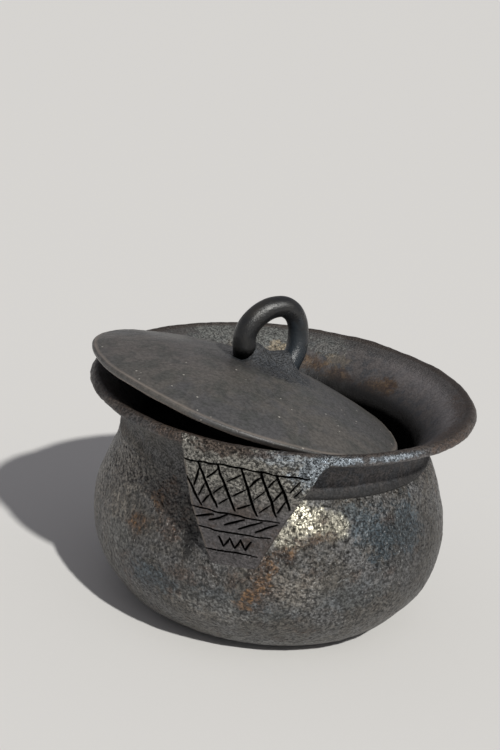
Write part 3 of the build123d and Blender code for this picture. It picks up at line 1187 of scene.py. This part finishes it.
def uneven(tree, place, scale, low, high, start=0.35, detail=5.0):
    """A number that drifts between low and high over the clay."""
    return ramp(tree, noise_node(tree, place, scale, detail), start, 0.7, low, high)


def painted(tree, label):
    """What mark_points kept at each point under this name."""
    node = tree.nodes.new("ShaderNodeAttribute")
    node.attribute_name = label
    return node.outputs["Fac"]


def across_and_up(tree, place):
    """The X and Z of each place."""
    node = feed_node(tree, tree.nodes.new("ShaderNodeSeparateXYZ"), Vector=place)
    return node.outputs["X"], node.outputs["Z"]


def facing_out(tree, place, scale, offset):
    """1 where the surface faces away from a middle: place * scale + offset gives the way out."""
    away = vector_node(tree, "MULTIPLY_ADD", place, scale, offset).outputs[0]
    normal = tree.nodes.new("ShaderNodeNewGeometry").outputs["Normal"]
    outward = vector_node(tree, "DOT_PRODUCT", normal, away).outputs["Value"]
    return math_node(tree, "GREATER_THAN", outward, 0.0)


def smoked_body(tree, place, tint):
    """The body's ground colour, with its blue bloom, pale patches that are painted light on the left, and
    soot-black patches with painted shade beside the lug, before stains and grains.
    """
    cloud, _ = smoked(tree, place, tint.body, tint.ash, 42.0, 0.4, 0.66, 0.5)
    brown, _ = smoked(tree, place, cloud, tint.umber, 58.0, 0.53, 0.68, 0.62)
    # Pale patches; those on the left are painted light.
    colour = tinted(tree, brown, patch_mask(tree, place, BODY_PALE_AND_PAINTED_LIGHT, 1.0), 0.66, (0.175, 0.158, 0.136))
    colour = tinted(tree, colour, patch_mask(tree, place, BODY_BLUE, 1.2), 0.62, tint.teal)
    # Soot, with painted shade beside the lug's left edge.
    return mix_colours(tree, patch_mask(tree, place, BODY_SOOT_AND_SHADE, 0.9), colour, tint.soot_and_shade)


@fired("Rough smoked clay")
def rough_body_clay(tree, place, tint):
    """Coarse, smoked clay with oxide stains, painted shade inside and a painted highlight on the shoulder,
    laid as a pale metallic patch.
    """
    painted_highlight = patch_mask(tree, place, BODY_PAINTED_HIGHLIGHT, 0.55)
    # Painted highlight: the shoulder's clay is made pale where the key light's highlight falls.
    colour = tinted(tree, smoked_body(tree, place, tint), painted_highlight, 0.92, (0.54, 0.51, 0.41))
    clumps = ramp(tree, noise_node(tree, place, 260.0, 5.0, 0.7), 0.42, 0.6)
    umber = times(tree, patch_mask(tree, place, BODY_UMBER, 1.4), ramp(tree, clumps, 0.0, 1.0, 0.5, 0.95))
    colour = mix_colours(tree, umber, colour, tint.umber)
    rust = mix_colours(tree, clumps, tint.umber, tint.rust)
    colour = tinted(tree, colour, patch_mask(tree, place, BODY_RUST, 1.3), 0.9, rust)
    colour, height = grained(tree, place, colour, 0.3, 1.9, 600.0)
    _, pore = gritty_skin(tree, place, 900.0, 260.0, 0.7)
    colour = tinted(tree, colour, pore, 0.85, tint.soot_and_shade)
    outer = facing_out(tree, place, (1, 1, 1), (0, 0, -0.06))
    lumps = math_node(tree, "SUBTRACT", noise_node(tree, place, 340.0, 1.5, 0.5), 0.5)
    worked = times(tree, lumps, ramp(tree, noise_node(tree, place, 24.0, 2.0), 0.4, 0.6, 1.3, 2.7))
    relief = times_plus(tree, height, 0.4, worked)
    relief = times_plus(tree, pore, -0.8, relief)
    relief = times(tree, relief, ramp(tree, outer, 0.0, 1.0, 0.35, 1.0))
    unstained = rest_of(tree, umber)
    # Painted shade: the inside of the belly and dish is near-black.
    return {
        "Base Color": mix_colours(tree, outer, (0.011, 0.0105, 0.01), colour),
        "Normal": bumped(tree, relief, 0.0014),
        "Roughness": times_plus(tree, painted_highlight, -0.1, uneven(tree, place, 160.0, 0.36, 0.5)),
        "Metallic": times(tree, times(tree, painted_highlight, 0.85), unstained),
    }


@fired("Rim clay")
def rim_clay(tree, place, tint):
    """Clay of the collar: smoother, with brown oxide on the lip, pale bloom inside the flare, painted glints
    on the lip, a dark brown crest that is oxide and painted shade, and painted shade on the neck and down
    the throat.
    """
    x, z = across_and_up(tree, place)
    plum = (0.07, 0.063, 0.062)
    cloud, smoke = smoked(tree, place, plum, (0.04, 0.043, 0.05), 120.0, 0.45, 0.58, 0.85)
    painted_highlight = patch_mask(tree, place, RIM_PAINTED_GLINTS, 1.2)
    pale = patch_mask(tree, place, FLARE_PALE, 1.0)
    right = ramp(tree, x, 0.04, 0.1, 0.0, 0.85)
    mottled = mix_colours(tree, smoke, (0.088, 0.08, 0.078), (0.04, 0.042, 0.045))
    under_lip = mix_colours(tree, right, mottled, (0.17, 0.156, 0.158))
    colour = mix_colours(tree, ramp(tree, z, 0.125, 0.136, 0.0, 0.8), cloud, under_lip)
    colour = mix_colours(tree, ramp(tree, z, 0.1375, 0.1415, 0.0, 0.7), colour, (0.042, 0.038, 0.036))
    colour = tinted(tree, colour, pale, 0.75, (0.115, 0.12, 0.112))
    left = ramp(tree, x, -0.055, -0.02, 1.0, 0.0)
    rough = times(tree, left, ramp(tree, z, 0.128, 0.138, 1.0, 0.0))
    colour = mix_colours(tree, rough, colour, smoked_body(tree, place, tint))
    # Painted glints: pale blue-white on the lip where the key light catches it.
    colour = tinted(tree, colour, painted_highlight, 0.85, (0.28, 0.32, 0.36))
    grains = ramp(tree, noise_node(tree, place, 260.0, 5.0, 0.7), 0.42, 0.68)
    oxide = mix_colours(tree, times(tree, grains, 0.45), tint.umber, tint.rust)
    colour = tinted(tree, colour, patch_mask(tree, place, RIM_BROWN, 1.2), 0.75, oxide)
    # The lip's crest is painted dark brown: brown oxide and painted shade of the flare's inner edge.
    colour = mix_colours(tree, ramp(tree, z, 0.142, 0.1432, 0.0, 0.75), colour, (0.036, 0.026, 0.02))
    oxide = mix_colours(tree, grains, (0.042, 0.026, 0.018), (0.12, 0.075, 0.038))
    colour = tinted(tree, colour, patch_mask(tree, place, FLARE_BROWN, 1.1), 0.85, oxide)
    colour = tinted(tree, colour, patch_mask(tree, place, RIM_TAN, 1.2), 0.8, tint.tan)
    outer = facing_out(tree, place, (1, 1, 0), (0, 0, 0))
    # Painted shade on the neck: the outside just above the groove is darkened towards soot, fading out by
    # 116.5 mm high, and not on the smeared left.
    hollow = times(tree, ramp(tree, z, 0.1095, 0.1165, 0.82, 0.0), rest_of(tree, left))
    hollow = times(tree, hollow, ramp(tree, z, 0.126, 0.136, 1.0, 0.0))
    colour = mix_colours(tree, times(tree, hollow, outer), colour, tint.soot_and_shade)
    handled = times(tree, larger(tree, left, 0.6), outer)
    busy = larger(tree, larger(tree, painted_highlight, pale), handled)
    dark = ramp(tree, busy, 0.0, 1.0, 0.78, 0.32)
    light = ramp(tree, busy, 0.0, 1.0, 1.22, 1.85)
    colour, height = grained(tree, place, colour, dark, light, 800.0)
    inner = rest_of(tree, outer)
    # Soot-black and painted shade down the throat: the inside turns to the soot colour from 128.5 mm down,
    # fully by 118.5 mm.
    throat = times(tree, ramp(tree, z, 0.1185, 0.1285, 1.0, 0.0), inner)
    lively = larger(tree, busy, ramp(tree, z, 0.1365, 0.139))
    relief = times(tree, height, ramp(tree, lively, 0.0, 1.0, 0.25, 1.0))
    dry = times(tree, outer, ramp(tree, z, 0.12, 0.136, 0.22, 0.0))
    worn = times_plus(tree, painted_highlight, -0.1, uneven(tree, place, 140.0, 0.38, 0.52))
    return {
        "Base Color": mix_colours(tree, throat, colour, tint.soot_and_shade),
        "Normal": bumped(tree, relief, 0.001),
        "Roughness": math_node(tree, "ADD", worn, dry),
        "Metallic": times(tree, painted_highlight, 0.8),
    }


# patches on the lug, in the same terms as the pot's
# Blue patches on the lug's upper band, made pale as painted glints where the key light catches it.
LUG_BLUE_AND_GLINTS = [(12, 119, 134, (16, 14, 13), 1.0), (3, 119, 140, (22, 12, 5), 0.6)]
LUG_BROWN = [(-14, 118, 142, (30, 10, 5), 0.8), (2, 112, 84, (8, 8, 12), 0.5)]


@fired("Lug clay")
def lug_clay(tree, place, tint):
    """Clay of the lug: handled smooth below, gritty by the lip, with blue patches that carry painted glints,
    a painted highlight along its left edge and painted shade, near-black, in its strokes.
    """
    plum = (0.074, 0.068, 0.07)
    _, z = across_and_up(tree, place)
    gritty = ramp(tree, z, 0.1, 0.126)
    cloud, _ = smoked(tree, place, plum, tint.umber, 70.0, 0.5, 0.64, 0.7)
    base = mix_colours(tree, gritty, cloud, (0.158, 0.152, 0.136))
    # Blue tint with painted glints, pale and partly metallic.
    blue = patch_mask(tree, place, LUG_BLUE_AND_GLINTS, 1.1)
    colour = tinted(tree, base, blue, 0.75, (0.235, 0.27, 0.305))
    colour = mix_colours(tree, patch_mask(tree, place, LUG_BROWN, 1.2), colour, tint.umber)
    dark = ramp(tree, gritty, 0.0, 1.0, 0.62, 0.24)
    light = ramp(tree, gritty, 0.0, 1.0, 1.4, 2.1)
    colour, height = grained(tree, place, colour, dark, light, 640.0)
    # Painted shade: the strokes are coloured near-black.
    painted_stroke_shade = ramp(tree, painted(tree, "stroke"), 0.12, 0.5)
    # Painted highlight along the lug's left edge.
    colour = tinted(tree, colour, painted(tree, "worn_edge"), 0.7, (0.2, 0.165, 0.135))
    relief = times(tree, height, ramp(tree, gritty, 0.0, 1.0, 0.75, 1.0))
    shine = larger(tree, times(tree, gritty, 0.45), times(tree, blue, 0.8))
    return {
        "Base Color": mix_colours(tree, painted_stroke_shade, colour, (0.002, 0.002, 0.002)),
        "Normal": bumped(tree, relief, 0.002),
        "Roughness": times_plus(tree, painted_stroke_shade, 0.4, uneven(tree, place, 180.0, 0.28, 0.42)),
        "Metallic": larger(tree, shine, painted_stroke_shade),
    }


def lid_patch(tree, place, x, y, reach, ragged, strength, rise=1.0):
    """A ragged patch on the lid, rise over its upper face; x, y, rise and reach in mm."""
    height = dome_height(math.hypot(x, y)) + rise
    centre = tuple(seated(np.array([[x, y, height]]))[0] * MM)
    return ragged_patch(tree, place, centre, reach, ragged, strength)


def burnished_colour(tree, place, tint):
    """Warm grey of the burnished lid, cooler in places, with a few pale specks, painted sheen, a painted
    highlight along the arris and painted shadow under the loop's left foot.
    """
    warm = tint.burnished
    cool = (warm[0] * 0.74, warm[1] * 0.8, warm[2] * 0.92)
    colour, _ = smoked(tree, place, warm, cool, 26.0, 0.42, 0.6, 0.8)
    # The lighter warm patch on the lid's left and the cooler patch on its right end are painted sheen; the
    # dark one near the loop darkens the clay there.
    for x, y, reach, ragged, share, tone in (
        (-62, 14, (60, 46, 30), 0.3, 0.5, (0.115, 0.102, 0.095)),
        (58, -34, (46, 40, 30), 0.4, 0.6, cool),
        (-12, -10, (26, 14, 12), 0.6, 0.4, tint.charcoal),
    ):
        colour = tinted(tree, colour, lid_patch(tree, place, x, y, reach, ragged, 1.0), share, tone)
    colour, _ = smoked(tree, place, colour, (0.05, 0.053, 0.048), 75.0, 0.46, 0.62, 0.62)
    colour, _ = grained(tree, place, colour, 0.82, 1.2, 480.0)
    chosen = math_node(tree, "GREATER_THAN", noise_node(tree, place, 46.0, 2.0), 0.53)
    speck = times(tree, ramp(tree, cell_gap(tree, place, 150.0), 0.06, 0.12, 1.0, 0.0), chosen)
    colour = mix_colours(tree, speck, colour, (0.42, 0.4, 0.36))
    colour = tinted(tree, colour, painted(tree, "edge_face"), 0.85, (0.026, 0.022, 0.021))
    # Painted highlight along the lid's upper arris.
    colour = tinted(tree, colour, painted(tree, "worn_edge"), 0.8, (0.3, 0.25, 0.215))
    # Painted shadow: black where the loop's left foot is undercut.
    gap = lid_patch(tree, place, -9.5, 0, (8.5, 8.5, 5.5), 0.2, 1.0)
    return mix_colours(tree, gap, colour, (0.003, 0.003, 0.003))


@fired("Burnished clay")
def burnished_clay(tree, place, tint):
    """Burnished clay of the lid, with a soft sheen and one small pale chip by the loop."""
    chip = lid_patch(tree, place, -21, -3, (3.4, 3.0, 3.0), 0.8, 1.0)
    height, _ = gritty_skin(tree, place, 700.0, 380.0, 0.5)
    return {
        "Base Color": mix_colours(tree, chip, burnished_colour(tree, place, tint), (0.5, 0.48, 0.44)),
        "Normal": bumped(tree, height, 0.0003),
        "Roughness": uneven(tree, place, 40.0, 0.34, 0.48, 0.3, 6.0),
    }


@fired("Loop clay")
def loop_clay(tree, place, tint):
    """The loop: rolled and burnished, almost black, with painted shadow at the base of its left foot."""
    colour, _ = smoked(tree, place, tint.charcoal, (0.024, 0.021, 0.017), 60.0, 0.42, 0.66, 0.7)
    blue = lid_patch(tree, place, 20, 0, (12, 16, 24), 0.5, 0.6, 12)
    colour = mix_colours(tree, blue, colour, (0.018, 0.028, 0.038))
    # Painted shadow: black, with no gloss, at the base of the left foot.
    gap = lid_patch(tree, place, -9, 0, (11, 11, 8), 0.3, 1.0, 2)
    height, _ = gritty_skin(tree, place, 700.0, 330.0, 0.4)
    return {
        "Base Color": mix_colours(tree, gap, colour, (0.003, 0.003, 0.003)),
        "Normal": bumped(tree, height, 0.0003),
        "Roughness": uneven(tree, place, 70.0, 0.27, 0.38, 0.3),
        "Metallic": gap,
        "Specular IOR Level": 0.75,
    }


@fired("Pad clay")
def pad_clay(tree, place, tint):
    """The pad: the lid's clay, smoked blue-black and left rougher by the fingers round the loop's feet."""
    near = lid_patch(tree, place, 10, -1, (34, 26, 24), 0.5, 0.85)
    colour, height = grained(tree, place, (0.034, 0.038, 0.044), 0.4, 1.7, 760.0)
    relief = times(tree, height, ramp(tree, near, 0.0, 0.8, 0.2, 1.0))
    return {
        "Base Color": mix_colours(tree, near, burnished_colour(tree, place, tint), colour),
        "Normal": bumped(tree, relief, 0.0011),
        "Roughness": uneven(tree, place, 70.0, 0.34, 0.5, 0.3),
    }


# ---------------------------------------------------------------- floor, lights and camera


class POT_OT_stage(Operator):
    """Lay the floor and set the lights and the camera"""

    bl_idname = "clay_pot.stage"
    bl_label = "Stage"

    def execute(self, context):
        scene = context.scene
        stage = scene.stage_settings
        mesh = bpy.data.meshes.new("studio_floor")
        half = 6.0  # half the floor's side, in metres
        corners = [(-half, -half, 0), (half, -half, 0), (half, half, 0), (-half, half, 0)]
        mesh.from_pydata(corners, [], [(0, 1, 2, 3)])
        floor = bpy.data.objects.new("studio_floor", mesh)
        scene.collection.objects.link(floor)
        pale = bpy.data.materials.new("Pale floor")
        pale.use_nodes = True
        tree = pale.node_tree
        shader = tree.nodes["Principled BSDF"]
        feed_node(tree, shader, Base_Color=stage.floor, Roughness=0.9, Specular_IOR_Level=0.1)
        mesh.materials.append(pale)

        key = bpy.data.lights.new("key_light", "SUN")
        key.angle = stage.key_spread
        key.energy = stage.key_power
        key.color = (1.0, 0.99, 0.95)
        lamp = bpy.data.objects.new("key_light", key)
        bearing = stage.key_bearing
        toward = Vector((math.cos(bearing), math.sin(bearing), math.tan(stage.key_height)))
        lamp.location = toward.normalized() * 2.6  # a sun lights the same from any distance
        lamp.rotation_euler = toward.to_track_quat("Z", "Y").to_euler()
        scene.collection.objects.link(lamp)

        world = bpy.data.worlds.new("soft_room")
        world.use_nodes = True
        tree = world.node_tree
        feed_node(tree, tree.nodes["Background"], Color=(0.95, 0.94, 1.0), Strength=stage.fill)
        scene.world = world
        scene.view_settings.view_transform = "Standard"

        lens = bpy.data.cameras.new("camera")
        lens.lens = stage.lens
        lens.sensor_fit = "AUTO"
        camera = bpy.data.objects.new("camera", lens)
        back, height = math.cos(stage.elevation), math.sin(stage.elevation)
        stand = Vector((0, -stage.distance * back, stage.distance * height - 4.5 * MM))
        up, sideways, roll = stage.aim
        turn = Matrix.Rotation(math.radians(90) - stage.elevation + up, 4, "X")
        turn = turn @ Matrix.Rotation(sideways, 4, "Y") @ Matrix.Rotation(roll, 4, "Z")
        camera.matrix_world = Matrix.Translation(stand) @ turn
        scene.collection.objects.link(camera)
        scene.camera = camera
        return {"FINISHED"}


class POT_PT_clay_pot(Panel):
    """The steps of making the pot, and its sizes and colours"""

    bl_idname = "POT_PT_clay_pot"
    bl_label = "Clay pot"
    bl_space_type = "VIEW_3D"
    bl_region_type = "UI"
    bl_category = "Clay Pot"

    def draw(self, context):
        layout = self.layout
        for step in MAKING:
            layout.operator(step.bl_idname)
        for group in (context.scene.pot_sizes, context.scene.lid_sizes, context.scene.clay_colours):
            box = layout.box()
            for label in group.bl_rna.properties.keys():
                if label not in ("rna_type", "name"):
                    box.prop(group, label)


# ---------------------------------------------------------------- registering and making

SETTINGS = {
    "pot_sizes": PotSizes,
    "lid_sizes": LidSizes,
    "clay_colours": ClayColours,
    "stage_settings": StageSettings,
}
MAKING = [
    POT_OT_stage,
    POT_OT_base_dish,
    POT_OT_bowl_wall,
    POT_OT_neck_rim,
    POT_OT_front_lug,
    POT_OT_lid_disc,
    POT_OT_lid_pad,
    POT_OT_lid_loop,
]


def register():
    for label, settings in SETTINGS.items():
        bpy.utils.register_class(settings)
        setattr(bpy.types.Scene, label, PointerProperty(type=settings))
    for step in MAKING:
        bpy.utils.register_class(step)
    bpy.utils.register_class(POT_PT_clay_pot)


def unregister():
    bpy.utils.unregister_class(POT_PT_clay_pot)
    for step in reversed(MAKING):
        bpy.utils.unregister_class(step)
    for label, settings in reversed(SETTINGS.items()):
        delattr(bpy.types.Scene, label)
        bpy.utils.unregister_class(settings)


def main():
    """Makes the whole pot."""
    register()
    for step in MAKING:
        group, label = step.bl_idname.split(".")
        getattr(getattr(bpy.ops, group), label)()
    bpy.context.view_layer.update()


if __name__ == "__main__":
    main()
